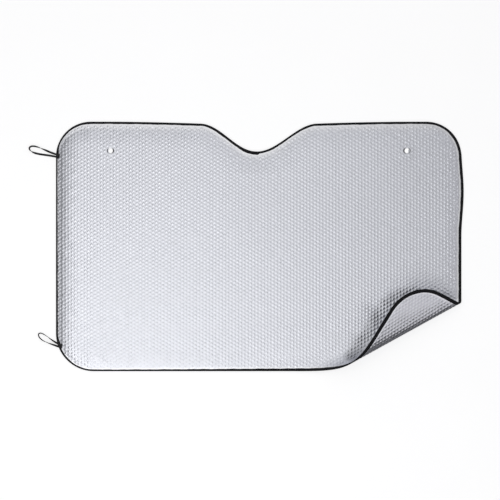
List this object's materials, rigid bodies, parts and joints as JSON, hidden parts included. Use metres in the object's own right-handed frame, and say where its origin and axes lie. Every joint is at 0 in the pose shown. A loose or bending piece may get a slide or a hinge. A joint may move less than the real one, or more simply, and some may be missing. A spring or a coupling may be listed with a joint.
{
  "type": "car windscreen sunshade",
  "caption": "Flat bubble foil sheet with a bound edge, a mirror notch, punched suction cup holes, elastic storage loops and a rolled corner.",
  "frame": {"origin": "centre of the sheet's back face, on the surface that the sheet lies on", "axes": "+X along the sheet towards the end with the rolled corner, +Y up the windscreen towards the notched edge, +Z out of the front face"},
  "size_m": [1.3953, 0.8001, 0.1069],
  "materials": {
    "bubble_foil": "metallised film over air bubbles, satin to bright",
    "binding_tape": "black woven polyester tape, matt",
    "elastic": "black flat braided elastic, matt"
  },
  "bodies": {
    "root": {"foil_panel": "bubble_foil", "edge_binding": "binding_tape", "upper_loop": "elastic", "lower_loop": "elastic"}
  },
  "joints": []
}
